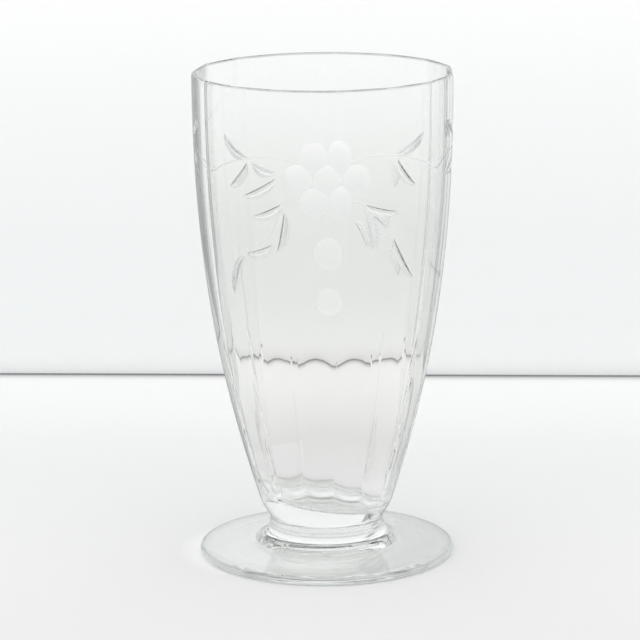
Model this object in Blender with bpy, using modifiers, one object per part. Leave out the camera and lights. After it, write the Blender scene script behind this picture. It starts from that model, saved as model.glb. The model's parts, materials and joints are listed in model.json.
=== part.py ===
"""Footed pint glass: a blown, panelled bowl on a short flared stem and a flat disc foot.

The bowl, the stem and the foot are separate gathers of glass that were joined hot, so each is
its own solid. The bowl's wall is drawn in to fifteen nearly flat panels, and a garland of
berries and leaves is wheel-cut into its front. Metres, +Z up; the foot rests on z = 0 and the
cluster of berries faces -Y.
"""

import math

import bpy
import bmesh
from mathutils import Matrix, Vector

MM = 0.001

# Overall sizes
TOTAL_HEIGHT = 153.5 * MM
RIM_RADIUS = 40.65 * MM
FOOT_RADIUS = 40.25 * MM

# Bowl
RIM_WALL = 1.4 * MM
BASE_WALL = 2.6 * MM
WALL_TAPER = 2.2            # how quickly the wall thickens on its way down
WALL_FULLNESS = 2.3         # 1 is a straight cone; higher is fuller
SHOULDER_RADIUS = 21.0 * MM
SHOULDER_RISE = 5.6 * MM    # from the stem joint up to where the wall begins
FLOOR_RISE = 5.4 * MM       # from the stem joint up to the middle of the inner floor
FLOOR_FILLET = 3.0 * MM
FLOOR_TILT = math.radians(8.0)   # the inner floor set askew: lower towards +X
FLOOR_TILT_REACH = 12.0 * MM     # height over which the tilt dies away

# Panels
PANEL_COUNT = 15
PANEL_TURN = math.radians(6.0)   # from the front to the nearest ridge, towards +X
PANEL_FLATNESS = 0.8        # 0 leaves the wall round, 1 makes the panels flat
PANEL_THINNING = 0.005      # wall lost mid-panel for each metre of height above the even height
EVEN_HEIGHT = 65.0 * MM
THINNEST_HEIGHT = 100.0 * MM
RIDGE_START = 0.88          # how far across a half panel its ridge begins to round over
PANEL_START = 2.0 * MM      # above the inner floor
PANEL_RUN_IN = 12.0 * MM    # height over which the panels reach their full depth

# Stem
STEM_HEIGHT = 7.8 * MM
WAIST_RADIUS = 17.8 * MM
FLARE_RADIUS = 22.7 * MM
FLARE_SWEEP = 3.2           # higher keeps the stem straight for longer before it flares

# Foot
FOOT_SEAT_HEIGHT = 4.3 * MM
FOOT_EDGE = 2.4 * MM
FOOT_RING_WIDTH = 6.0 * MM
FOOT_DOME = 1.2 * MM

JOINT_GAP = 0.3 * MM        # left between solids that are fused in the real glass

# Wheel cutting
CLUSTER_HEIGHT = 126.4 * MM
BERRY_RADIUS = 4.6 * MM
BERRY_DEPTH = 0.55 * MM
BERRY_ROW = 6.9 * MM
BERRY_COLUMN = 9.0 * MM
BERRY_PAIR = 7.8 * MM
CLUSTER_SHIFT = 0.9 * MM    # the cluster stands a little to the right of the front
DROP_HEIGHTS = (103.7 * MM, 88.5 * MM)
LEAF_WIDTH = 3.1 * MM
LEAF_DEPTH = 0.6 * MM
CUT_CLEARANCE = 1.0 * MM    # how far a berry cutter stands out of the wall

# Leaves, stalk end first: (degrees round from the front, height in mm) twice
LEAVES = (
    ((-34.5, 132.2), (-48.0, 138.6)),
    ((-35.7, 130.8), (-45.4, 123.0)),
    ((-32.5, 131.0), (-21.5, 128.6)),
    ((-21.5, 126.8), (-38.0, 120.6)),
    ((-19.2, 119.0), (-33.2, 114.6)),
    ((-18.0, 116.4), (-22.0, 103.8)),
    ((-24.6, 106.0), (-37.6, 102.8)),
    ((-39.2, 101.4), (-48.0, 88.6)),
    ((33.0, 133.4), (48.5, 138.8)),
    ((34.0, 131.6), (44.5, 123.2)),
    ((29.4, 131.0), (31.6, 123.0)),
    ((18.6, 118.6), (34.8, 115.6)),
    ((18.0, 117.0), (22.3, 103.8)),
    ((13.4, 113.4), (19.6, 105.0)),
    ((22.2, 114.6), (28.6, 110.4)),
    ((29.5, 104.2), (35.4, 95.0)),
    ((33.0, 107.2), (46.0, 94.2)),
    ((-87.0, 133.4), (-71.5, 138.8)),
    ((-86.0, 131.6), (-75.5, 123.2)),
    ((85.5, 132.2), (72.0, 138.6)),
    ((84.3, 130.8), (74.6, 123.0)),
)

# Facets
TURN_STEPS = 4 * PANEL_COUNT
WALL_STEPS = 9
CURVE_STEPS = 3
BERRY_SIDES = 12
LEAF_RINGS = 6

# Heights that follow from the sizes above
JOINT_HEIGHT = FOOT_SEAT_HEIGHT + STEM_HEIGHT
SHOULDER_HEIGHT = JOINT_HEIGHT + SHOULDER_RISE
FLOOR_HEIGHT = JOINT_HEIGHT + FLOOR_RISE
LIP_HEIGHT = TOTAL_HEIGHT - RIM_WALL / 2


def clear_scene():
    """Remove every object the scene starts with."""
    for obj in list(bpy.data.objects):
        bpy.data.objects.remove(obj, do_unlink=True)


def new_collection(name):
    """A collection linked to the scene."""
    collection = bpy.data.collections.new(name)
    bpy.context.scene.collection.children.link(collection)
    return collection


def glass_material(name, tint, roughness):
    """Clear glass with a faint tint."""
    material = bpy.data.materials.new(name)
    material.use_nodes = True
    shader = material.node_tree.nodes["Principled BSDF"]
    shader.inputs["Base Color"].default_value = (*tint, 1.0)
    shader.inputs["Roughness"].default_value = roughness
    shader.inputs["Metallic"].default_value = 0.0
    shader.inputs["IOR"].default_value = 1.51
    shader.inputs["Transmission Weight"].default_value = 1.0
    return material


def turned(name, profile, steps, collection):
    """A solid turned round Z from (radius, height) points that run down its outer side."""
    mesh = bpy.data.meshes.new(name)
    points = [(radius, 0.0, height) for radius, height in profile]
    mesh.from_pydata(points, [(i, i + 1) for i in range(len(points) - 1)], [])
    obj = bpy.data.objects.new(name, mesh)
    collection.objects.link(obj)
    screw = obj.modifiers.new("Turn", 'SCREW')
    screw.steps = steps
    screw.render_steps = steps
    screw.use_merge_vertices = True
    screw.merge_threshold = 0.01 * MM
    return obj


def apply_modifiers(obj):
    """Keep the evaluated mesh as the object's own."""
    evaluated = obj.evaluated_get(bpy.context.evaluated_depsgraph_get())
    mesh = bpy.data.meshes.new_from_object(evaluated)
    obj.modifiers.clear()
    obj.data = mesh


def smooth(obj, degrees):
    """Shade smooth, with an edge kept where faces turn by more than the angle."""
    obj.data.shade_smooth()
    obj.data.set_sharp_from_angle(angle=math.radians(degrees))


def bezier(start, control, end, steps):
    """Points along a quadratic curve, after its start."""
    points = []
    for step in range(1, steps + 1):
        t = step / steps
        points.append(tuple((1 - t) ** 2 * a + 2 * t * (1 - t) * b + t ** 2 * c
                            for a, b, c in zip(start, control, end)))
    return points


def wall_fall(height):
    """How far down the wall a height is: 0 at the lip, 1 at the shoulder."""
    return max(0.0, (LIP_HEIGHT - height) / (LIP_HEIGHT - SHOULDER_HEIGHT))


def bowl_radius(height):
    """Outer radius of the bowl: near upright at the rim, drawing in to the shoulder."""
    return RIM_RADIUS - (RIM_RADIUS - SHOULDER_RADIUS) * wall_fall(height) ** WALL_FULLNESS


def bowl_slope(height):
    """How fast the outer radius grows with height."""
    steepest = (RIM_RADIUS - SHOULDER_RADIUS) * WALL_FULLNESS / (LIP_HEIGHT - SHOULDER_HEIGHT)
    return steepest * wall_fall(height) ** (WALL_FULLNESS - 1)


def wall_thickness(height):
    """Horizontal thickness of the wall, thickest at the shoulder."""
    return RIM_WALL + (BASE_WALL - RIM_WALL) * min(1.0, wall_fall(height)) ** WALL_TAPER


def inner_radius(height):
    """Radius of the cavity at the panels' ridges."""
    return bowl_radius(height) - wall_thickness(height)


def bowl_profile():
    """From the middle of the inner floor, up the inside, over the lip and down the outside."""
    floor_edge = FLOOR_HEIGHT + FLOOR_FILLET
    foot_of_wall = (inner_radius(floor_edge), floor_edge)
    profile = [(0.0, FLOOR_HEIGHT), (foot_of_wall[0] - FLOOR_FILLET, FLOOR_HEIGHT)]
    profile += bezier(profile[-1], (foot_of_wall[0] - FLOOR_FILLET / 4, FLOOR_HEIGHT),
                      foot_of_wall, CURVE_STEPS)
    for step in range(1, WALL_STEPS + 1):
        height = floor_edge + (LIP_HEIGHT - floor_edge) * step / WALL_STEPS
        profile.append((inner_radius(height), height))
    lip = RIM_WALL / 2
    for step in range(1, 2 * CURVE_STEPS):
        angle = math.pi * (1 - step / (2 * CURVE_STEPS))
        profile.append((RIM_RADIUS - lip + lip * math.cos(angle),
                        LIP_HEIGHT + lip * math.sin(angle)))
    for step in range(WALL_STEPS + 1):
        height = LIP_HEIGHT + (SHOULDER_HEIGHT - LIP_HEIGHT) * step / WALL_STEPS
        profile.append((bowl_radius(height), height))
    joint = (WAIST_RADIUS, JOINT_HEIGHT + JOINT_GAP / 2)
    drop = SHOULDER_RISE * 0.45
    control = (SHOULDER_RADIUS - drop * bowl_slope(SHOULDER_HEIGHT), SHOULDER_HEIGHT - drop)
    profile += bezier(profile[-1], control, joint, CURVE_STEPS)
    profile.append((0.0, joint[1]))
    return profile


def panel_hollow(x, y):
    """How hollow the panels are round the wall: 0 on a ridge, 1 along the middle of a panel."""
    across = (math.atan2(x, -y) - PANEL_TURN) * PANEL_COUNT / (2 * math.pi) % 1.0
    aside = abs(2 * across - 1)
    ridge_top = 1 - RIDGE_START
    if aside < RIDGE_START:
        hollow = 1 - aside ** 2
    else:
        hollow = ridge_top + RIDGE_START * (1 - aside) ** 2 / ridge_top
    return (hollow - ridge_top) / (1 - ridge_top)


def outer_depth(height):
    """How far the outside of a panel's middle stands in from its ridges."""
    return PANEL_FLATNESS * bowl_radius(height) * (1 - math.cos(math.pi / PANEL_COUNT))


def inner_depth(height):
    """The same for the inside: the wall is thicker mid-panel low down, and thinner higher up."""
    return outer_depth(height) - PANEL_THINNING * (min(height, THINNEST_HEIGHT) - EVEN_HEIGHT)


def press_panels(mesh):
    """Draw the wall in between the ridges, and set the inner floor askew."""
    panel_foot = FLOOR_HEIGHT + PANEL_START
    for vertex in mesh.vertices:
        x, y, height = vertex.co
        radius = math.hypot(x, y)
        fade = min(1.0, max(0.0, (height - panel_foot) / PANEL_RUN_IN))
        if fade > 0.0:
            depth_in_wall = (bowl_radius(height) - radius) / wall_thickness(height)
            depth_in_wall = min(1.0, max(0.0, depth_in_wall))
            outer = outer_depth(height)
            depth = outer + (inner_depth(height) - outer) * depth_in_wall
            scale = 1 - depth * fade * panel_hollow(x, y) / radius
            vertex.co.x *= scale
            vertex.co.y *= scale
        inside = radius < inner_radius(max(height, FLOOR_HEIGHT)) + RIM_WALL / 4
        above_floor = height - FLOOR_HEIGHT
        if inside and above_floor > -RIM_WALL / 4:
            sag = max(0.0, 1 - above_floor / FLOOR_TILT_REACH)
            vertex.co.z -= x * math.tan(FLOOR_TILT) * sag


def wall_point(angle, height):
    """A point on the outside of the wall: the angle is from the front towards +X."""
    x, y = math.sin(angle), -math.cos(angle)
    radius = bowl_radius(height) - outer_depth(height) * panel_hollow(x, y)
    return Vector((radius * x, radius * y, height))


def on_wall(angle, height, reach):
    """A frame on the wall, X round it, Y up it and Z out of it, levelled over its reach."""
    turn = reach / bowl_radius(height)
    left, right = wall_point(angle - turn, height), wall_point(angle + turn, height)
    up = wall_point(angle, height + reach) - wall_point(angle, height - reach)
    out = (right - left).cross(up).normalized()
    side = up.cross(out).normalized()
    frame = Matrix((side, out.cross(side), out)).transposed().to_4x4()
    frame.translation = (left + right + 2 * wall_point(angle, height)) / 4
    return frame


def berry_places():
    """(distance round the wall, height) of each berry: a cluster in three rows, two below."""
    rows = (
        (CLUSTER_HEIGHT + BERRY_ROW, (-BERRY_PAIR / 2, BERRY_PAIR / 2)),
        (CLUSTER_HEIGHT, (-BERRY_COLUMN, 0.0, BERRY_COLUMN)),
        (CLUSTER_HEIGHT - BERRY_ROW, (-BERRY_PAIR / 2, BERRY_PAIR / 2)),
    )
    places = [(CLUSTER_SHIFT + shift, height) for height, shifts in rows for shift in shifts]
    return places + [(CLUSTER_SHIFT, height) for height in DROP_HEIGHTS]


def berry_cutter(name, place, collection):
    """The shallow lens that a round-edged wheel leaves."""
    distance, height = place
    profile = (
        (0.0, CUT_CLEARANCE),
        (BERRY_RADIUS, CUT_CLEARANCE),
        (BERRY_RADIUS, 0.0),
        (BERRY_RADIUS * 0.6, -BERRY_DEPTH * 0.64),
        (0.0, -BERRY_DEPTH),
    )
    cutter = turned(name, profile, BERRY_SIDES, collection)
    cutter.matrix_world = on_wall(distance / bowl_radius(height), height, BERRY_RADIUS)
    return cutter


def leaf_cutter(name, leaf, collection):
    """The pointed V groove that a mitred wheel leaves: a four-sided spindle laid on the wall."""
    (start_turn, start_height), (end_turn, end_height) = leaf
    mesh = bpy.data.meshes.new(name)
    spindle = bmesh.new()
    bmesh.ops.create_uvsphere(spindle, u_segments=4, v_segments=LEAF_RINGS, radius=1.0,
                              matrix=Matrix.Rotation(math.pi / 2, 4, 'Y'))
    wall = bowl_radius((start_height + end_height) / 2 * MM)
    run = math.radians(end_turn - start_turn) * wall
    rise = (end_height - start_height) * MM
    across = Vector((-rise, run)).normalized() * LEAF_WIDTH / 2
    for vertex in spindle.verts:
        share = (vertex.co.x + 1) / 2
        turn = math.radians(start_turn + (end_turn - start_turn) * share)
        turn += across.x * vertex.co.y / wall
        height = (start_height + (end_height - start_height) * share) * MM + across.y * vertex.co.y
        out = Vector((math.sin(turn), -math.cos(turn), -bowl_slope(height))).normalized()
        vertex.co = wall_point(turn, height) + out * vertex.co.z * LEAF_DEPTH
    spindle.to_mesh(mesh)
    spindle.free()
    cutter = bpy.data.objects.new(name, mesh)
    collection.objects.link(cutter)
    return cutter


def cut_garland(bowl, cutters):
    """Take the berries and leaves out of the bowl's outer wall."""
    for index, place in enumerate(berry_places()):
        berry_cutter(f"berry_cutter_{index}", place, cutters)
    for index, leaf in enumerate(LEAVES):
        leaf_cutter(f"leaf_cutter_{index}", leaf, cutters)
    for cutter in cutters.objects:
        cutter.hide_render = True
        cutter.display_type = 'WIRE'
    cut = bowl.modifiers.new("Wheel cutting", 'BOOLEAN')
    cut.operation = 'DIFFERENCE'
    cut.operand_type = 'COLLECTION'
    cut.collection = cutters


def make_bowl(parts, cutters):
    """The panelled bowl with its rounded lip, askew floor and cut garland."""
    bowl = turned("bowl", bowl_profile(), TURN_STEPS, parts)
    apply_modifiers(bowl)
    press_panels(bowl.data)
    smooth(bowl, 25)
    cut_garland(bowl, cutters)
    return bowl


def make_stem(parts):
    """The short solid stem, waisted at the top and flared onto the foot."""
    top = JOINT_HEIGHT - JOINT_GAP / 2
    bottom = FOOT_SEAT_HEIGHT + JOINT_GAP / 2
    profile = [(0.0, top), (WAIST_RADIUS, top)]
    steps = 3 * CURVE_STEPS
    for step in range(1, steps + 1):
        fall = step / steps
        profile.append((WAIST_RADIUS + (FLARE_RADIUS - WAIST_RADIUS) * fall ** FLARE_SWEEP,
                        top + (bottom - top) * fall))
    profile.append((0.0, bottom))
    stem = turned("stem", profile, TURN_STEPS, parts)
    smooth(stem, 40)
    return stem


def make_foot(parts):
    """The disc foot: a flat seat, a gentle slope, a round edge and a domed underside."""
    seat = FOOT_SEAT_HEIGHT - JOINT_GAP / 2
    edge = FOOT_EDGE / 2
    profile = [(0.0, seat), (FLARE_RADIUS, seat)]
    steps = 4 * CURVE_STEPS
    for step in range(steps + 1):
        angle = math.pi / 2 - math.pi * step / steps
        profile.append((FOOT_RADIUS - edge + edge * math.cos(angle),
                        edge + edge * math.sin(angle)))
    ring = FOOT_RADIUS - edge - FOOT_RING_WIDTH
    profile.append((ring, 0.0))
    dome_edge = ring * 0.75
    profile += bezier((ring, 0.0), (dome_edge, FOOT_DOME), (0.0, FOOT_DOME), CURVE_STEPS)
    foot = turned("foot", profile, TURN_STEPS, parts)
    smooth(foot, 40)
    return foot


def main():
    clear_scene()
    parts = new_collection("pint_glass")
    cutters = new_collection("cutters")
    bowl = make_bowl(parts, cutters)
    stem = make_stem(parts)
    foot = make_foot(parts)
    bowl.data.materials.append(glass_material("bowl_glass", (0.95, 0.97, 0.96), 0.02))
    stem.data.materials.append(glass_material("stem_glass", (0.94, 0.97, 0.95), 0.02))
    foot.data.materials.append(glass_material("foot_glass", (0.93, 0.97, 0.95), 0.03))


main()
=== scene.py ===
"""A footed pint glass of clear glass, on a pale table against a pale wall.

The bowl, the stem and the foot are turned from drawn profiles. The bowl's wall is pressed into
fifteen nearly flat panels with soft ridges between them, and a garland of berries and leaves is
wheel-cut into its outside.
"""

import json
import math

import bpy
from mathutils import Matrix, Vector

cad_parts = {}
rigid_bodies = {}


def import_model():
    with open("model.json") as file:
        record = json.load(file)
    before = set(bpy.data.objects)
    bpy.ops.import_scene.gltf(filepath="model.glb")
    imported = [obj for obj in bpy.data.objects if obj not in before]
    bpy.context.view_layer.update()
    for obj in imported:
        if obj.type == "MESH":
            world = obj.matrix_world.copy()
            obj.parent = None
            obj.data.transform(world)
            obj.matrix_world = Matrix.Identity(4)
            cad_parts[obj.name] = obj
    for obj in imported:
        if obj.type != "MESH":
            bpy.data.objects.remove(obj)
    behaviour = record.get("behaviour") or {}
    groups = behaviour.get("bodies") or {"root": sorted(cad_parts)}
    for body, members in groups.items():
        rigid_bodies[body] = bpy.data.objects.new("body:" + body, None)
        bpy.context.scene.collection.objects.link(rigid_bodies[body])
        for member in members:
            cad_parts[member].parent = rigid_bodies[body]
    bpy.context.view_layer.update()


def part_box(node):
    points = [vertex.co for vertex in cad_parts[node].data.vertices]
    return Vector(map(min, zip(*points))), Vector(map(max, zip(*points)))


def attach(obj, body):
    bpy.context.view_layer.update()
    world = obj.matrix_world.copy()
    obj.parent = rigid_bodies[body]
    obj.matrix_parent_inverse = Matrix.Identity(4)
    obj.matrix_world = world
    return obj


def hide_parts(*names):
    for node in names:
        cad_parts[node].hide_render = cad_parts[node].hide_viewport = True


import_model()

MM = 0.001

# Places read off the frame
BOWL_LOW, BOWL_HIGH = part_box("bowl")
STEM_LOW, STEM_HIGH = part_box("stem")
FOOT_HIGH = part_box("foot")[1]
JOINT_HEIGHT = (BOWL_LOW[2] + STEM_HIGH[2]) / 2
SEAT_HEIGHT = (STEM_LOW[2] + FOOT_HIGH[2]) / 2
RIM_RADIUS = -BOWL_LOW[0]
FLARE_RADIUS = STEM_HIGH[0]
FOOT_RADIUS = FOOT_HIGH[0]

# Bowl: the taper says how the wall thins from base to rim, the fullness how its outside bellies
RIM_WALL = 1.4 * MM
BASE_WALL = 2.6 * MM
WALL_TAPER = 2.2
WALL_FULLNESS = 2.3
SHOULDER_RADIUS = 21.0 * MM
SHOULDER_RISE = 5.6 * MM
SHOULDER_DROP = SHOULDER_RISE * 0.45
FLOOR_RISE = 5.4 * MM
FLOOR_FILLET = 3.0 * MM
FILLET_PULL = FLOOR_FILLET / 3
FLOOR_TILT = math.radians(8.0)
FLOOR_TILT_REACH = 12.0 * MM
STEEPEST_FLOOR = 0.3
LIP_HEIGHT = BOWL_HIGH[2] - RIM_WALL / 2
SHOULDER_HEIGHT = JOINT_HEIGHT + SHOULDER_RISE
FLOOR_HEIGHT = JOINT_HEIGHT + FLOOR_RISE

# Panels: nearly flat for most of their width, and thinner inside the higher up they are
PANEL_COUNT = 15
PANEL_TURN = math.radians(6.0)
OUTER_FLATNESS = 0.8
RIDGE_START = 0.88
RIDGE_TOP = 1 - RIDGE_START
EVEN_HEIGHT = 65.0 * MM
THINNEST_HEIGHT = 100.0 * MM
PANEL_THINNING = 0.013
PANEL_START = 2.0 * MM
PANEL_RUN_IN = 12.0 * MM

# Stem and foot
WAIST_RADIUS = 17.8 * MM
FLARE_SWEEP = 3.2
FOOT_EDGE = 2.4 * MM
FOOT_RING_WIDTH = 6.0 * MM
FOOT_DOME = 1.2 * MM
DOME_FULLNESS = 0.75

# Material slots: the glass is 0 and the fused joint 1 on every piece
RIM_SLOT = 2
BERRY_SLOT = 3
LEAF_SLOT = 4
HEEL_SLOT = 5
FLOOR_SLOT = 6
INNER_RIM_SLOT = 7
FOOT_EDGE_SLOT = 2

# The wheel-cut garland: a cluster of berries at the front, leaves and stalks either side of it
CLUSTER_HEIGHT = 126.4 * MM
CLUSTER_SHIFT = 0.9 * MM
BERRY_RADIUS = 4.6 * MM
BERRY_DEPTH = 0.55 * MM
BERRY_LENS = 6.0 * MM
BERRY_ROW = 6.9 * MM
BERRY_COLUMN = 9.0 * MM
BERRY_PAIR = 7.8 * MM
DROP_HEIGHTS = (103.7 * MM, 88.5 * MM)
DROP_SIZES = (1.0, 0.85)
LEAF_WIDTH = 3.1 * MM
LEAF_DEPTH = 0.6 * MM
LEAF_FULLNESS = 0.7
LEAF_STATIONS = 18
STALK_WIDTH = 0.5 * MM
STALK_DEPTH = 0.16 * MM
STALK_FULLNESS = 0.1
STALK_STATIONS = 4 * LEAF_STATIONS
THINNEST_TIP = 0.02
LOOK_AHEAD = 0.02
# The wheels' sections, as shares of the cut's width across it and of its depth down into the wall
HEEL_SHARE = 0.2
FALLING_FACET = -0.1
LEAF_SECTION = ((0.0, -1.0), (HEEL_SHARE, 0.95), (0.50, 0.25), (0.72, 0.85), (1.40, -1.0))
STALK_SECTION = ((0.0, -3.0), (0.3, 1.0), (2.5, -3.0))
# Each leaf runs from its stalk end to its tip, both in degrees round from the front and mm of
# height. The last number is the side its bevel falls on: 1 is left of the way it runs.
LEAVES = (
    ((-34.5, 132.2), (-48, 138.6), 1), ((-35.7, 130.8), (-45.4, 123), 1),
    ((-32.5, 131), (-21.5, 128.6), -1), ((-21.5, 126.8), (-38, 120.6), 1),
    ((-19.2, 119), (-33.2, 114.6), 1), ((-18, 116.4), (-22, 103.8), 1),
    ((-24.6, 106), (-37.6, 102.8), 1), ((-39.2, 101.4), (-48, 88.6), -1),
    ((33, 133.4), (48.5, 138.8), -1), ((34, 131.6), (44.5, 123.2), -1),
    ((29.4, 131), (31.6, 123), 1), ((18.6, 118.6), (34.8, 115.6), -1),
    ((18, 117), (22.3, 103.8), 1), ((13.4, 113.4), (19.6, 105), 1),
    ((22.2, 114.6), (28.6, 110.4), 1), ((29.5, 104.2), (35.4, 95), 1),
    ((33, 107.2), (46, 94.2), -1),
    ((-87, 133.4), (-71.5, 138.8), 1), ((-86, 131.6), (-75.5, 123.2), -1),
    ((85.5, 132.2), (72, 138.6), -1), ((84.3, 130.8), (74.6, 123), 1))
STALKS = (
    ((9, 131.2), (21, 133), (34.5, 132.4), (50, 129.2), (60, 126.4), (70, 129.2), (85.5, 132.4)),
    ((-9, 131.2), (-21, 133), (-34.5, 132.4), (-50, 129.2), (-60, 126.4), (-70, 129.2),
     (-85.5, 132.4)),
    ((-10, 119.2), (-18, 118.3), (-24, 110), (-30, 106), (-38, 102.6)),
    ((10, 119.2), (18, 118.3), (24, 110), (33, 106.6)))

# How finely the meshes are drawn; creases sharper than these angles stay sharp
TURN_STEPS = 16 * PANEL_COUNT
WALL_STEPS = 44
LIP_STEPS = 24
CURVE_STEPS = 10
BERRY_SEGMENTS = 40
BERRY_RINGS = 18
MERGE_REACH = 0.001 * MM
CAP_LEVEL = 0.999
CAP_REACH = 0.001 * MM
BOWL_CREASE = 10
FOOT_CREASE = 30

# Camera and room
CAMERA_DISTANCE = 0.998
CAMERA_HEIGHT = 0.3045
CAMERA_PITCH = math.radians(12.97)
CAMERA_YAW = math.radians(0.09)
CAMERA_ROLL = math.radians(-0.5)
LENS = 183.7
SENSOR_WIDTH = 36.0
CLIP_START = 0.01
CLIP_END = 50.0
WORLD_STRENGTH = 1.17
SOFTBOX_PLACE = (0.0, -0.4, 1.4)
SOFTBOX_SIZE = (1.6, 1.2)
SOFTBOX_POWER = 1.0
GLASS_BOUNCES = 128
CLEAR_BOUNCES = 32
ROOM_WIDTH = 6.0
TABLE_REACH = 3.0
WALL_TALL = 3.0
WALL_DIP = 0.02
WALL_BEHIND = 0.228
WALL_TURN = math.radians(-2.8)
TABLE_DROP = 0.05 * MM
EDGE_GAP = 3.0 * MM
# The sheet in the gap between table and wall is grey: painted shadow
GAP_SHADOW_COLOUR = "#868a8c"
FLAG_PLACE = WALL_BEHIND - EDGE_GAP
# Each flag: its two corners and its colour
FLAGS = {
    "left_flag": ((-0.160, FLAG_PLACE, 0.0), (-0.113, FLAG_PLACE, 0.14), "#a6a8a8"),
    "top_flag": ((-0.6, FLAG_PLACE, 0.27), (0.6, FLAG_PLACE, 0.70), "#202222"),
    "ceiling_flag": ((-0.8, -0.8, 0.8), (0.8, 0.2, 0.8), "#e6e8e7")}
# Painted shade: how the table shades off away from the view, darkest at the gap by the wall, and the
# wall upwards: places in metres, and tones
TABLE_SHADE_STOPS = ((-0.7, "#e7e7e7"), (-0.09, "#e6e6e6"), (-0.03, "#e8e8e8"), (0.093, "#e8e9e9"),
               (0.132, "#eaebeb"), (0.161, "#eeefef"), (0.215, "#f4f4f4"), (0.221, "#f2f2f2"),
               (0.225, "#e0e0e0"), (WALL_BEHIND, "#b4b4b4"))
WALL_SHADE_STOPS = ((0.0, "#ffffff"), (0.004, "#f6f7f7"), (0.010, "#f0f2f2"), (0.021, "#edefef"),
              (0.053, "#edefef"), (0.100, "#f2f4f4"), (0.145, "#f9f9f9"))
# A pool of light painted on the table under the stem, for the light the stem gathers there: how far
# it's full, and where it ends
PAINTED_LIGHT_POOL = (24.0 * MM, 38.0 * MM)

# Glass seen square on is clear, and seen along its skin it's darkened with painted shade: how far
# off square, and tone
WALL_EDGE_SHADE = ((0.45, "#ffffff"), (0.60, "#f4f5f4"), (0.80, "#cacccb"), (1.0, "#343635"))
LEVEL_EDGE_SHADE = ((0.82, "#ffffff"), (0.92, "#d2d5d3"), (1.0, "#7a7d7b"))
# At the very edge painted shade lets less light through at all: from how far off square, and the
# share left
WALL_SKIN_SHADE = (0.80, 0.0)
LEVEL_SKIN_SHADE = (0.90, 0.3)
# Tint by height; the bowl's greys are painted shade, setting how light the glass reads at each
# height
BOWL_SHADE_TINT = ((0.018, "#fefefe"), (0.030, "#f2f2f1"), (0.045, "#f6f6f5"), (0.060, "#fcfcfa"),
             (0.075, "#f7f7f6"), (0.105, "#f6f6f5"), (0.130, "#fcfcfb"), (0.150, "#ffffff"))
FLOOR_TINT = ((0.012, "#fefefe"), (0.025, "#fefefe"))
STEM_TINT = ((0.004, "#fdfefd"), (0.012, "#fdfefd"))
FOOT_TINT = ((0.0, "#fefffe"), (0.005, "#fefffe"))
# The length and the height of the surface's waves
WALL_WAVE = 9.0 * MM
WALL_SWELL = 0.004 * MM
FOOT_WAVE = 7.0 * MM
FOOT_SWELL = 0.01 * MM
# Edges rounded in the flame, greyed with painted shade, the inner rim darker than the outer: darkest
# and lightest tone, and where along a wave each is reached
RIM_WAVE = 6.0 * MM
WAVE_DARK = 0.3
WAVE_LIGHT = 0.7
RIM_SHADE_TONES = ("#dcdfdd", "#eceeed")
INNER_RIM_SHADE_TONES = ("#c0c4c2", "#d6d9d7")
FOOT_EDGE_SHADE_TONES = ("#ced2d0", "#e0e3e1")
POLISHED_ROUGHNESS = 0.02
# Ground glass: tone and roughness of each cut, and the grit that ground it; the heel's dark grey is
# painted shade
BERRY_FINISH = ("#ffffff", 0.4)
LEAF_FINISH = ("#e8eae9", 0.28)
HEEL_SHADE_FINISH = ("#8a8e8c", 0.12)
GRIT = 0.25 * MM
GRIT_DEPTH = GRIT / 12
GRIT_STRENGTH = 0.3
GRIT_SPREAD = 0.08
GLASS_IOR = 1.51


def linear(code):
    """An sRGB hex colour as linear RGBA."""
    channels = [int(code[i:i + 2], 16) / 255 for i in (1, 3, 5)]
    rgb = [c / 12.92 if c <= 0.04045 else ((c + 0.055) / 1.055) ** 2.4 for c in channels]
    return (*rgb, 1.0)


def add_node(tree, kind, settings=None, links=None):
    """A node with its settings and links; a setting is a property or an input by its name."""
    node = tree.nodes.new(kind)
    for name, value in (settings or {}).items():
        if name in node.inputs:
            node.inputs[name].default_value = value
        else:
            setattr(node, name, value)
    for name, source in (links or {}).items():
        tree.links.new(source, node.inputs[name])
    return node


def new_material(name):
    """An empty node material and its output."""
    material = bpy.data.materials.new(name)
    material.use_nodes = True
    material.node_tree.nodes.clear()
    return material, material.node_tree, add_node(material.node_tree, "ShaderNodeOutputMaterial")


def colour_ramp(tree, value, stops):
    """Colours along a value, evenly mixed between the stops."""
    start, end = stops[0][0], stops[-1][0]
    share = add_node(tree, "ShaderNodeMapRange", {"From Min": start, "From Max": end},
                     {"Value": value})
    ramp = add_node(tree, "ShaderNodeValToRGB", links={"Fac": share.outputs["Result"]})
    for index, (spot, colour) in enumerate(stops):
        if 0 < index < len(stops) - 1:
            ramp.color_ramp.elements.new((spot - start) / (end - start))
        ramp.color_ramp.elements[index].color = linear(colour)
    return ramp.outputs["Color"]


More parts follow.
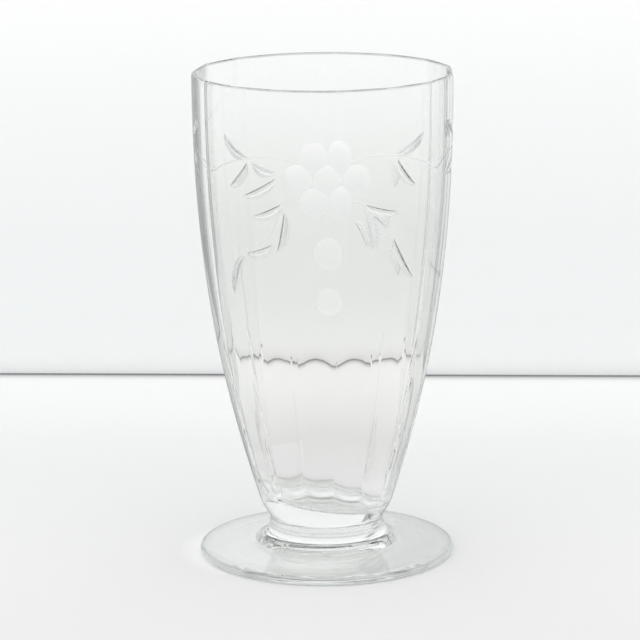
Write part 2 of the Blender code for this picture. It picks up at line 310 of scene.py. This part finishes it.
def clear_glass(name, stops, edge, edge_shade_share, wave, swell):
    """Clear soda-lime glass: square on it's nearly colourless, with a faint tint by height, which on
    the bowl is greyed at some heights with painted shade. Seen along its skin it's darkened and lets
    less light through, painted shade which draws its outline and its ridges as fine grey lines. A
    wave some millimetres long and microns high keeps its surface from looking machined."""
    material, tree, output = new_material(name)
    place = add_node(tree, "ShaderNodeTexCoord")
    split = add_node(tree, "ShaderNodeSeparateXYZ", links={"Vector": place.outputs["Object"]})
    skin = add_node(tree, "ShaderNodeLayerWeight", {"Blend": 0.5})
    tint = add_node(tree, "ShaderNodeMix", {"data_type": 'RGBA', "blend_type": 'MULTIPLY'})
    tint.inputs[0].default_value = 1.0
    tree.links.new(colour_ramp(tree, split.outputs["Z"], stops), tint.inputs[6])
    # Painted shade: the glass is darkened the more along its skin it's seen
    tree.links.new(colour_ramp(tree, skin.outputs["Facing"], edge), tint.inputs[7])
    waves = add_node(tree, "ShaderNodeTexNoise", {"Scale": 1 / wave, "Detail": 1.0},
                     {"Vector": place.outputs["Object"]})
    bump = add_node(tree, "ShaderNodeBump", {"Strength": 1.0, "Distance": swell},
                    {"Height": waves.outputs["Fac"]})
    # Painted shade: near the edge less light gets through
    clear = add_node(tree, "ShaderNodeMapRange", {
        "interpolation_type": 'SMOOTHSTEP', "From Min": edge_shade_share[0], "From Max": 1.0,
        "To Min": 1.0, "To Max": edge_shade_share[1]}, {"Value": skin.outputs["Facing"]})
    shader = add_node(tree, "ShaderNodeBsdfPrincipled", {
        "Roughness": 0.0, "IOR": GLASS_IOR, "Specular IOR Level": 0.0},
        {"Base Color": tint.outputs[2], "Normal": bump.outputs["Normal"],
         "Transmission Weight": clear.outputs["Result"]})
    tree.links.new(shader.outputs["BSDF"], output.inputs["Surface"])
    return material


def fire_polish(name, tones):
    """An edge rounded in the flame, greyed with painted shade that draws the edge as a fine line;
    the grey wanders a little in tone."""
    material, tree, output = new_material(name)
    place = add_node(tree, "ShaderNodeTexCoord")
    waves = add_node(tree, "ShaderNodeTexNoise", {"Scale": 1 / RIM_WAVE, "Detail": 1.0},
                     {"Vector": place.outputs["Object"]})
    # Painted shade: the grey that draws the edge as a line
    grey = colour_ramp(tree, waves.outputs["Fac"],
                       ((WAVE_DARK, tones[0]), (WAVE_LIGHT, tones[1])))
    shader = add_node(tree, "ShaderNodeBsdfPrincipled", {
        "Roughness": POLISHED_ROUGHNESS, "IOR": GLASS_IOR, "Transmission Weight": 1.0},
        {"Base Color": grey})
    tree.links.new(shader.outputs["BSDF"], output.inputs["Surface"])
    return material


def satin_cut(name, tint, roughness):
    """Glass ground by a wheel and left unpolished: fine grit marks scatter what's behind it, so
    a cut reads as a frosted patch in the clear wall."""
    material, tree, output = new_material(name)
    place = add_node(tree, "ShaderNodeTexCoord")
    grit = add_node(tree, "ShaderNodeTexNoise", {"Scale": 1 / GRIT, "Detail": 2.0},
                    {"Vector": place.outputs["Object"]})
    bump = add_node(tree, "ShaderNodeBump", {"Strength": GRIT_STRENGTH, "Distance": GRIT_DEPTH},
                    {"Height": grit.outputs["Fac"]})
    rough = add_node(tree, "ShaderNodeMapRange", {
        "To Min": roughness - GRIT_SPREAD, "To Max": roughness + GRIT_SPREAD},
        {"Value": grit.outputs["Fac"]})
    shader = add_node(tree, "ShaderNodeBsdfPrincipled", {
        "Base Color": linear(tint), "IOR": GLASS_IOR, "Transmission Weight": 1.0},
        {"Normal": bump.outputs["Normal"], "Roughness": rough.outputs["Result"]})
    tree.links.new(shader.outputs["BSDF"], output.inputs["Surface"])
    return material


def fused_joint():
    """The flat faces where two gathers were stuck together hot: nothing shows there, so the
    glass runs on from one piece into the next."""
    material, tree, output = new_material("fused_joint")
    shader = add_node(tree, "ShaderNodeBsdfPrincipled", {
        "Base Color": linear("#ffffff"), "Roughness": 0.0, "IOR": GLASS_IOR, "Alpha": 0.0})
    tree.links.new(shader.outputs["BSDF"], output.inputs["Surface"])
    return material


def deselect_all():
    """Leave edit mode and select nothing."""
    if bpy.context.object and bpy.context.object.mode != 'OBJECT':
        bpy.ops.object.mode_set(mode='OBJECT')
    bpy.ops.object.select_all(action='DESELECT')


def spin_profile(name, profile):
    """A closed solid turned round Z: the profile is drawn out point by point, then spun."""
    deselect_all()
    radius, height = profile[0]
    bpy.ops.mesh.primitive_plane_add(size=MM, location=(radius, 0.0, height))
    piece = bpy.context.object
    piece.name = name
    bpy.ops.object.transform_apply(location=True, rotation=True, scale=True)
    bpy.ops.object.mode_set(mode='EDIT')
    bpy.ops.mesh.merge(type='CENTER')
    for last, point in zip(profile, profile[1:]):
        bpy.ops.mesh.extrude_vertices_move(TRANSFORM_OT_translate={
            "value": (point[0] - last[0], 0.0, point[1] - last[1])})
    bpy.ops.mesh.select_all(action='SELECT')
    bpy.ops.mesh.spin(steps=TURN_STEPS, angle=2 * math.pi, use_auto_merge=True,
                      center=(0.0, 0.0, 0.0), axis=(0.0, 0.0, 1.0))
    bpy.ops.mesh.select_all(action='SELECT')
    bpy.ops.mesh.remove_doubles(threshold=MERGE_REACH)
    bpy.ops.mesh.normals_make_consistent(inside=False)
    bpy.ops.object.mode_set(mode='OBJECT')
    return piece


def bezier(start, control, end, steps):
    """Points along a curve pulled towards one control point, without its start."""
    points = []
    for step in range(1, steps + 1):
        t = step / steps
        points.append(tuple((1 - t) ** 2 * a + 2 * t * (1 - t) * b + t ** 2 * c
                            for a, b, c in zip(start, control, end)))
    return points


def wall_fall(height):
    """How far down the wall a height is: 0 at the lip, 1 at the shoulder."""
    return max(0.0, (LIP_HEIGHT - height) / (LIP_HEIGHT - SHOULDER_HEIGHT))


def bowl_radius(height):
    """The radius out to the ridges."""
    return RIM_RADIUS - (RIM_RADIUS - SHOULDER_RADIUS) * wall_fall(height) ** WALL_FULLNESS


def bowl_slope(height):
    """How fast that radius grows with height."""
    steepest = (RIM_RADIUS - SHOULDER_RADIUS) * WALL_FULLNESS / (LIP_HEIGHT - SHOULDER_HEIGHT)
    return steepest * wall_fall(height) ** (WALL_FULLNESS - 1)


def wall_thickness(height):
    """The wall under the ridges, thickening towards the base."""
    return RIM_WALL + (BASE_WALL - RIM_WALL) * min(1.0, wall_fall(height)) ** WALL_TAPER


def inner_radius(height):
    return bowl_radius(height) - wall_thickness(height)


def bowl_profile():
    """The bowl's section, from the middle of its floor, over the lip, to the middle of the joint."""
    floor_edge = FLOOR_HEIGHT + FLOOR_FILLET
    foot_of_wall = (inner_radius(floor_edge), floor_edge)
    flat = foot_of_wall[0] - FLOOR_FILLET
    profile = [(0.0, FLOOR_HEIGHT), (flat / 2, FLOOR_HEIGHT), (flat, FLOOR_HEIGHT)]
    profile += bezier(profile[-1], (foot_of_wall[0] - FILLET_PULL, FLOOR_HEIGHT),
                      foot_of_wall, CURVE_STEPS)
    for step in range(1, WALL_STEPS + 1):
        height = floor_edge + (LIP_HEIGHT - floor_edge) * step / WALL_STEPS
        profile.append((inner_radius(height), height))
    lip = RIM_WALL / 2
    for step in range(1, LIP_STEPS):
        angle = math.pi * (1 - step / LIP_STEPS)
        profile.append((RIM_RADIUS - lip + lip * math.cos(angle),
                        LIP_HEIGHT + lip * math.sin(angle)))
    for step in range(WALL_STEPS + 1):
        height = LIP_HEIGHT + (SHOULDER_HEIGHT - LIP_HEIGHT) * step / WALL_STEPS
        profile.append((bowl_radius(height), height))
    joint = (WAIST_RADIUS, JOINT_HEIGHT)
    control = (SHOULDER_RADIUS - SHOULDER_DROP * bowl_slope(SHOULDER_HEIGHT),
               SHOULDER_HEIGHT - SHOULDER_DROP)
    profile += bezier(profile[-1], control, joint, CURVE_STEPS)
    profile.append((0.0, JOINT_HEIGHT))
    return profile


def panel_hollow(x, y):
    """How hollow the panels are round the wall: 0 on a ridge, 1 along the middle of a panel."""
    pitch = 2 * math.pi / PANEL_COUNT
    across = (math.atan2(x, -y) - PANEL_TURN) / pitch % 1.0
    aside = abs(2 * across - 1)
    if aside < RIDGE_START:
        hollow = 1 - aside ** 2
    else:
        hollow = RIDGE_TOP + RIDGE_START * (1 - aside) ** 2 / (1 - RIDGE_START)
    return (hollow - RIDGE_TOP) / (1 - RIDGE_TOP)


def outer_depth(height):
    """How far the outside of a panel's middle stands in from its ridges."""
    flat = bowl_radius(height) * (1 - math.cos(math.pi / PANEL_COUNT))
    return OUTER_FLATNESS * flat


def inner_depth(height):
    """The same for the inside: the wall is thickest mid-panel low down, and thinnest higher up."""
    above = min(height, THINNEST_HEIGHT) - EVEN_HEIGHT
    return outer_depth(height) - PANEL_THINNING * above


def press_panels(mesh):
    """Flatten the wall between the ridges, outside and inside, and set the inner floor askew."""
    for vertex in mesh.vertices:
        x, y, height = vertex.co
        radius = math.hypot(x, y)
        fade = min(1.0, max(0.0, (height - FLOOR_HEIGHT - PANEL_START) / PANEL_RUN_IN))
        in_wall = (bowl_radius(height) - radius) / wall_thickness(height)
        in_wall = min(1.0, max(0.0, in_wall))
        if fade > 0.0:
            outer = outer_depth(height)
            depth = (outer + (inner_depth(height) - outer) * in_wall) * fade
            scale = 1 - depth * panel_hollow(x, y) / radius
            vertex.co.x *= scale
            vertex.co.y *= scale
        above_floor = height - FLOOR_HEIGHT
        if in_wall > 0.5 and above_floor > -RIM_WALL / 4:
            sag = max(0.0, 1 - above_floor / FLOOR_TILT_REACH)
            vertex.co.z -= x * math.tan(FLOOR_TILT) * sag


def fuse_caps(piece, heights):
    """Give the flat faces at the hot joints their own slot, where nothing shows."""
    piece.data.materials.append(bpy.data.materials["fused_joint"])
    slot = len(piece.data.materials) - 1
    for face in piece.data.polygons:
        away = min(abs(face.center.z - height) for height in heights)
        if abs(face.normal.z) > CAP_LEVEL and away < CAP_REACH:
            face.material_index = slot


def wall_point(angle, height):
    """A point on the outside of the panelled wall: the angle is from the front towards +X."""
    x, y = math.sin(angle), -math.cos(angle)
    radius = bowl_radius(height) - outer_depth(height) * panel_hollow(x, y)
    return Vector((radius * x, radius * y, height))


def on_wall(angle, height, reach):
    """A frame lying on the wall, X round it, Y up it and Z out of it, level over its reach."""
    turn = reach / bowl_radius(height)
    left, right = wall_point(angle - turn, height), wall_point(angle + turn, height)
    up = wall_point(angle, height + reach) - wall_point(angle, height - reach)
    out = (right - left).cross(up).normalized()
    side = up.cross(out).normalized()
    lying = Matrix((side, out.cross(side), out)).transposed().to_4x4()
    lying.translation = (left + right + 2 * wall_point(angle, height)) / 4
    return lying


def berry_places():
    """Where the berries sit: round from the cluster's middle in metres, height, and size."""
    rows = ((1, (-0.5, 0.5), BERRY_PAIR), (0, (-1, 0, 1), BERRY_COLUMN),
            (-1, (-0.5, 0.5), BERRY_PAIR))
    places = [(step * pitch + CLUSTER_SHIFT, CLUSTER_HEIGHT + row * BERRY_ROW, 1.0)
              for row, steps, pitch in rows for step in steps]
    places += [(CLUSTER_SHIFT, height, size) for height, size in zip(DROP_HEIGHTS, DROP_SIZES)]
    return places


def new_cutter(name, mesh):
    """One more solid to take out of the bowl."""
    cutter = bpy.data.objects.new(name, mesh)
    bpy.data.collections["cutters"].objects.link(cutter)
    return cutter


def berry_wheel():
    """The rounded wheel that grinds a berry: a lens whose tip sinks BERRY_DEPTH into the wall."""
    depth = BERRY_DEPTH / (1 - math.sqrt(1 - (BERRY_RADIUS / BERRY_LENS) ** 2))
    deselect_all()
    bpy.ops.mesh.primitive_uv_sphere_add(segments=BERRY_SEGMENTS, ring_count=BERRY_RINGS,
                                         radius=BERRY_LENS)
    wheel = bpy.context.object
    wheel.scale = (1.0, 1.0, depth / BERRY_LENS)
    wheel.location = (0.0, 0.0, depth - BERRY_DEPTH)
    bpy.ops.object.transform_apply(location=True, rotation=True, scale=True)
    mesh = wheel.data
    for face in mesh.polygons:
        face.use_smooth = True
        face.material_index = BERRY_SLOT
    bpy.data.objects.remove(wheel)
    return mesh


def blade(name, width, depth, section, stations, slot):
    """A bar along X with the cutting wheel's section, as shares of the width and the depth; it's
    laid along the wall afterwards. On a leaf, the facet at the heel is painted dark, painted shade
    that shows as a dark line, and the second groove's near side takes the whiter berry finish, a
    painted highlight that shows as a white one."""
    deselect_all()
    bpy.ops.mesh.primitive_circle_add(vertices=len(section), radius=MM, fill_type='NGON')
    bar = bpy.context.object
    corners = [(across * width, -down * depth) for across, down in section]
    for vertex, (across, out) in zip(bar.data.vertices, corners):
        vertex.co = (0.0, across, out)
    bpy.ops.object.mode_set(mode='EDIT')
    bpy.ops.mesh.select_all(action='SELECT')
    for _ in range(stations):
        bpy.ops.mesh.extrude_region_move(TRANSFORM_OT_translate={"value": (MM, 0.0, 0.0)})
    bpy.ops.mesh.select_all(action='SELECT')
    bpy.ops.mesh.normals_make_consistent(inside=False)
    bpy.ops.object.mode_set(mode='OBJECT')
    mesh = bar.data
    mesh.name = name
    for face in mesh.polygons:
        face.use_smooth = True
        face.material_index = slot
        # Facets falling one way are painted: dark at the heel as shade, whiter beyond it as a
        # highlight
        if face.normal.y < FALLING_FACET and slot == LEAF_SLOT:
            heel = face.center.y < width * HEEL_SHARE
            face.material_index = HEEL_SLOT if heel else BERRY_SLOT
    bpy.data.objects.remove(bar)
    return mesh


def along(points, share):
    """The place a share of the way along a bent line of points, rounded at its bends."""
    spans = len(points) - 1
    index = min(int(share * spans), spans - 1)
    step = share * spans - index
    before, here = points[max(index - 1, 0)], points[index]
    there, after = points[index + 1], points[min(index + 2, spans)]
    return [0.5 * (2 * b + (c - a) * step + (2 * a - 5 * b + 4 * c - d) * step ** 2
                   + (3 * b - a - 3 * c + d) * step ** 3)
            for a, b, c, d in zip(before, here, there, after)]


def lay_on_wall(mesh, points, side, taper):
    """Lay a blade along a line on the wall, thinning to nothing at its two ends."""
    length = max(vertex.co.x for vertex in mesh.vertices)
    for vertex in mesh.vertices:
        share = vertex.co.x / length
        thin = max(THINNEST_TIP, 4 * share * (1 - share)) ** taper
        degrees, height = along(points, share)
        ahead = along(points, min(1, share + LOOK_AHEAD))
        behind = along(points, max(0, share - LOOK_AHEAD))
        radius = bowl_radius(height * MM)
        way = Vector((math.radians(ahead[0] - behind[0]) * radius,
                      (ahead[1] - behind[1]) * MM)).normalized()
        aside = Vector((-way.y, way.x)) * vertex.co.y * thin * side
        angle = math.radians(degrees) + aside.x / radius
        place = wall_point(angle, height * MM + aside.y)
        out = Vector((math.sin(angle), -math.cos(angle), -bowl_slope(height * MM))).normalized()
        vertex.co = place + out * vertex.co.z * thin
    if side < 0:
        mesh.flip_normals()


def cut_garland(bowl):
    """Cut the berries, leaves and stalks into the outside of the bowl, as satin hollows."""
    cutters = bpy.data.collections.new("cutters")
    bpy.context.scene.collection.children.link(cutters)
    bowl.data.materials.append(satin_cut("satin_ground_berries", *BERRY_FINISH))
    bowl.data.materials.append(satin_cut("mitre_ground_leaves", *LEAF_FINISH))
    bowl.data.materials.append(satin_cut("leaf_heel_painted_shade", *HEEL_SHADE_FINISH))
    berry = berry_wheel()
    leaf = blade("leaf_blade", LEAF_WIDTH, LEAF_DEPTH, LEAF_SECTION, LEAF_STATIONS, LEAF_SLOT)
    stalk = blade("stalk_blade", STALK_WIDTH, STALK_DEPTH, STALK_SECTION, STALK_STATIONS,
                  BERRY_SLOT)
    for round_wall, height, size in berry_places():
        cutter = new_cutter("berry_cutter", berry.copy())
        lying = on_wall(round_wall / bowl_radius(height), height, BERRY_RADIUS)
        cutter.data.transform(lying @ Matrix.Diagonal((size, size, 1.0, 1.0)))
    for start, end, side in LEAVES:
        cutter = new_cutter("leaf_cutter", leaf.copy())
        lay_on_wall(cutter.data, (start, end), side, LEAF_FULLNESS)
    for points in STALKS:
        cutter = new_cutter("stalk_cutter", stalk.copy())
        lay_on_wall(cutter.data, points, 1, STALK_FULLNESS)
    for cutter in cutters.objects:
        for material in bowl.data.materials:
            cutter.data.materials.append(material)
    deselect_all()
    bowl.select_set(True)
    bpy.context.view_layer.objects.active = bowl
    cut = bowl.modifiers.new("garland", 'BOOLEAN')
    cut.operation = 'DIFFERENCE'
    cut.operand_type = 'COLLECTION'
    cut.collection = cutters
    cut.solver = 'EXACT'
    cut.material_mode = 'INDEX'
    bpy.ops.object.modifier_apply(modifier=cut.name)
    for cutter in list(cutters.objects):
        bpy.data.objects.remove(cutter)
    bpy.data.collections.remove(cutters)


def finish_piece(piece, node, degrees):
    """Smooth a piece between its creases, hang it on the root body, and hide the node it stands for.
    """
    deselect_all()
    piece.select_set(True)
    bpy.context.view_layer.objects.active = piece
    bpy.ops.object.shade_smooth_by_angle(angle=math.radians(degrees))
    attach(piece, "root")
    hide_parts(node)


def make_bowl():
    """The panelled bowl, with its lip, its garland and its askew floor."""
    bowl = spin_profile("panelled_bowl", bowl_profile())
    press_panels(bowl.data)
    bowl.data.materials.append(
        clear_glass("blown_glass_bowl", BOWL_SHADE_TINT, WALL_EDGE_SHADE, WALL_SKIN_SHADE, WALL_WAVE, WALL_SWELL))
    fuse_caps(bowl, [JOINT_HEIGHT])
    bowl.data.materials.append(fire_polish("fire_polished_rim_painted_shade", RIM_SHADE_TONES))
    for face in bowl.data.polygons:
        if face.center.z > LIP_HEIGHT:
            face.material_index = RIM_SLOT
    cut_garland(bowl)
    bowl.data.materials.append(
        clear_glass("blown_glass_floor", FLOOR_TINT, LEVEL_EDGE_SHADE, LEVEL_SKIN_SHADE, FOOT_WAVE, FOOT_SWELL))
    bowl.data.materials.append(fire_polish("fire_polished_inner_rim_painted_shade", INNER_RIM_SHADE_TONES))
    for face in bowl.data.polygons:
        # The inner rim takes a darker grey: painted shade
        if face.material_index == RIM_SLOT and face.normal.xy.dot(face.center.xy) < 0.0:
            face.material_index = INNER_RIM_SLOT
        low_down = face.center.z < FLOOR_HEIGHT + FLOOR_TILT_REACH
        if low_down and face.normal.z > STEEPEST_FLOOR:
            face.material_index = FLOOR_SLOT
    finish_piece(bowl, "bowl", BOWL_CREASE)


def make_stem():
    """The waisted stem, flaring onto the foot."""
    profile = [(0.0, JOINT_HEIGHT), (WAIST_RADIUS, JOINT_HEIGHT)]
    steps = 2 * CURVE_STEPS
    for step in range(1, steps + 1):
        fall = step / steps
        profile.append((WAIST_RADIUS + (FLARE_RADIUS - WAIST_RADIUS) * fall ** FLARE_SWEEP,
                        JOINT_HEIGHT + (SEAT_HEIGHT - JOINT_HEIGHT) * fall))
    profile.append((0.0, SEAT_HEIGHT))
    stem = spin_profile("flared_stem", profile)
    stem.data.materials.append(
        clear_glass("pressed_glass_stem", STEM_TINT, WALL_EDGE_SHADE, LEVEL_SKIN_SHADE, WALL_WAVE, WALL_SWELL))
    fuse_caps(stem, [JOINT_HEIGHT, SEAT_HEIGHT])
    finish_piece(stem, "stem", FOOT_CREASE)


def make_foot():
    """The disc foot, with a rounded edge and a shallow dome under it inside its resting ring."""
    edge = FOOT_EDGE / 2
    profile = [(0.0, SEAT_HEIGHT), (FLARE_RADIUS, SEAT_HEIGHT)]
    steps = 3 * CURVE_STEPS
    for step in range(steps + 1):
        angle = math.pi / 2 - math.pi * step / steps
        profile.append((FOOT_RADIUS - edge + edge * math.cos(angle),
                        edge + edge * math.sin(angle)))
    ring = FOOT_RADIUS - edge - FOOT_RING_WIDTH
    profile.append((ring, 0.0))
    profile += bezier((ring, 0.0), (ring * DOME_FULLNESS, FOOT_DOME), (0.0, FOOT_DOME),
                      CURVE_STEPS)
    foot = spin_profile("disc_foot", profile)
    foot.data.materials.append(
        clear_glass("pressed_glass_foot", FOOT_TINT, LEVEL_EDGE_SHADE, LEVEL_SKIN_SHADE, FOOT_WAVE, FOOT_SWELL))
    fuse_caps(foot, [SEAT_HEIGHT])
    foot.data.materials.append(fire_polish("fire_polished_edge_painted_shade", FOOT_EDGE_SHADE_TONES))
    for face in foot.data.polygons:
        if math.hypot(face.center.x, face.center.y) > FOOT_RADIUS - edge:
            face.material_index = FOOT_EDGE_SLOT
    finish_piece(foot, "foot", FOOT_CREASE)


def stage_material(name, stops, axis, one_sided=False, pool=None):
    """Matt white board with painted shade: it shades off along an axis, as it does away from a
    window. The pool is a painted pool of light, a round patch of white at the middle; a one-sided
    sheet can't be seen from behind."""
    material, tree, output = new_material(name)
    place = add_node(tree, "ShaderNodeTexCoord")
    split = add_node(tree, "ShaderNodeSeparateXYZ", links={"Vector": place.outputs["Object"]})
    # Painted shade along the axis
    colour = colour_ramp(tree, split.outputs[axis], stops)
    # Painted pool of light: the table is whitened round its middle, under the stem
    if pool:
        away = add_node(tree, "ShaderNodeVectorMath", {"operation": 'LENGTH'},
                        {"Vector": place.outputs["Object"]})
        share = add_node(tree, "ShaderNodeMapRange", {
            "interpolation_type": 'SMOOTHSTEP', "From Min": pool[0], "From Max": pool[1],
            "To Min": 1.0, "To Max": 0.0}, {"Value": away.outputs["Value"]})
        lit = add_node(tree, "ShaderNodeMix", {"data_type": 'RGBA'},
                       {"Factor": share.outputs["Result"]})
        tree.links.new(colour, lit.inputs[6])
        lit.inputs[7].default_value = linear("#ffffff")
        colour = lit.outputs[2]
    shader = add_node(tree, "ShaderNodeBsdfDiffuse", links={"Color": colour})
    surface = shader.outputs["BSDF"]
    if one_sided:
        side = add_node(tree, "ShaderNodeNewGeometry")
        clear = add_node(tree, "ShaderNodeBsdfTransparent")
        both = add_node(tree, "ShaderNodeMixShader")
        tree.links.new(side.outputs["Backfacing"], both.inputs[0])
        tree.links.new(surface, both.inputs[1])
        tree.links.new(clear.outputs["BSDF"], both.inputs[2])
        surface = both.outputs["Shader"]
    tree.links.new(surface, output.inputs["Surface"])
    return material


def matt(name, colour):
    """Matt card or cloth of one even tone, with no shine of its own."""
    material, tree, output = new_material(name)
    shader = add_node(tree, "ShaderNodeBsdfDiffuse", {"Color": linear(colour)})
    tree.links.new(shader.outputs["BSDF"], output.inputs["Surface"])
    return material


def turn_with_wall(sheet):
    """The wall isn't quite square to the view, and what stands along it turns with it."""
    about = Matrix.Translation((0.0, WALL_BEHIND, 0.0))
    sheet.matrix_world = about @ Matrix.Rotation(WALL_TURN, 4, 'Z') @ about.inverted()


def stage_sheet(name, width, height, place, upright, material):
    """A flat sheet of the stage, lying down or upright."""
    deselect_all()
    bpy.ops.mesh.primitive_plane_add(size=1.0)
    sheet = bpy.context.object
    sheet.name = name
    if upright:
        sheet.rotation_euler = (math.pi / 2, 0.0, 0.0)
    sheet.scale = (width, height, 1.0)
    sheet.location = place
    bpy.ops.object.transform_apply(location=True, rotation=True, scale=True)
    turn_with_wall(sheet)
    sheet.data.materials.append(material)
    return sheet


def make_stage():
    """The table, the wall behind it, and a grey sheet in the gap between the two, painted shadow."""
    length = TABLE_REACH + WALL_BEHIND
    stage_sheet("table", ROOM_WIDTH, length, (0.0, WALL_BEHIND - length / 2, -TABLE_DROP), False,
                stage_material("white_table_painted_shade_and_light", TABLE_SHADE_STOPS, "Y", pool=PAINTED_LIGHT_POOL))
    stage_sheet("wall", ROOM_WIDTH, WALL_TALL,
                (0.0, WALL_BEHIND + EDGE_GAP, WALL_TALL / 2 - WALL_DIP), True,
                stage_material("white_wall_painted_shade", WALL_SHADE_STOPS, "Z", one_sided=True))
    # A grey sheet in the gap: painted shadow
    stage_sheet("shadow_sheet_in_gap", ROOM_WIDTH, 2 * EDGE_GAP,
                (0.0, WALL_BEHIND, -2 * TABLE_DROP), False, matt("painted_gap_shadow", GAP_SHADOW_COLOUR))


def make_light():
    """Even white light from all round, a softbox overhead, and the flags."""
    world = bpy.data.worlds.new("studio")
    bpy.context.scene.world = world
    world.use_nodes = True
    world.node_tree.nodes["Background"].inputs["Color"].default_value = linear("#ffffff")
    world.node_tree.nodes["Background"].inputs["Strength"].default_value = WORLD_STRENGTH
    deselect_all()
    bpy.ops.object.light_add(type='AREA', location=SOFTBOX_PLACE)
    lamp = bpy.context.object
    lamp.name = "softbox"
    lamp.data.shape = 'RECTANGLE'
    lamp.data.size, lamp.data.size_y = SOFTBOX_SIZE
    lamp.data.energy = SOFTBOX_POWER
    aim = Vector((0.0, 0.0, 0.0)) - Vector(SOFTBOX_PLACE)
    lamp.rotation_euler = aim.to_track_quat('-Z', 'Y').to_euler()
    for name, (low, high, shade) in FLAGS.items():
        make_flag(name, low, high, shade)


def make_flag(name, low, high, shade):
    """A flag beside the view, standing or lying between two corners: the camera doesn't see it,
    the edges of the glass do."""
    size = [high[axis] - low[axis] for axis in range(3)]
    middle = [(low[axis] + high[axis]) / 2 for axis in range(3)]
    upright = size[2] > 0.0
    flag = stage_sheet(name, size[0], size[2] if upright else size[1], middle, upright,
                       matt(f"{name}_cloth", shade))
    flag.visible_camera = False
    flag.visible_diffuse = False
    flag.visible_shadow = False


def make_camera():
    """The view from the front, looking slightly down."""
    deselect_all()
    bpy.ops.object.camera_add(location=(0.0, -CAMERA_DISTANCE, CAMERA_HEIGHT))
    camera = bpy.context.object
    turn = (Matrix.Rotation(CAMERA_YAW, 4, 'Z')
            @ Matrix.Rotation(math.pi / 2 - CAMERA_PITCH, 4, 'X')
            @ Matrix.Rotation(CAMERA_ROLL, 4, 'Z'))
    camera.rotation_euler = turn.to_euler()
    camera.data.sensor_width = SENSOR_WIDTH
    camera.data.lens = LENS
    camera.data.clip_start = CLIP_START
    camera.data.clip_end = CLIP_END
    bpy.context.scene.camera = camera


def main():
    """Build the scene."""
    scene = bpy.context.scene
    scene.view_settings.view_transform = 'Standard'
    scene.cycles.max_bounces = GLASS_BOUNCES
    scene.cycles.transmission_bounces = GLASS_BOUNCES
    scene.cycles.glossy_bounces = GLASS_BOUNCES
    scene.cycles.transparent_max_bounces = CLEAR_BOUNCES
    scene.cycles.blur_glossy = 0.0
    fused_joint()
    make_camera()
    make_stage()
    make_light()
    make_bowl()
    make_stem()
    make_foot()


main()
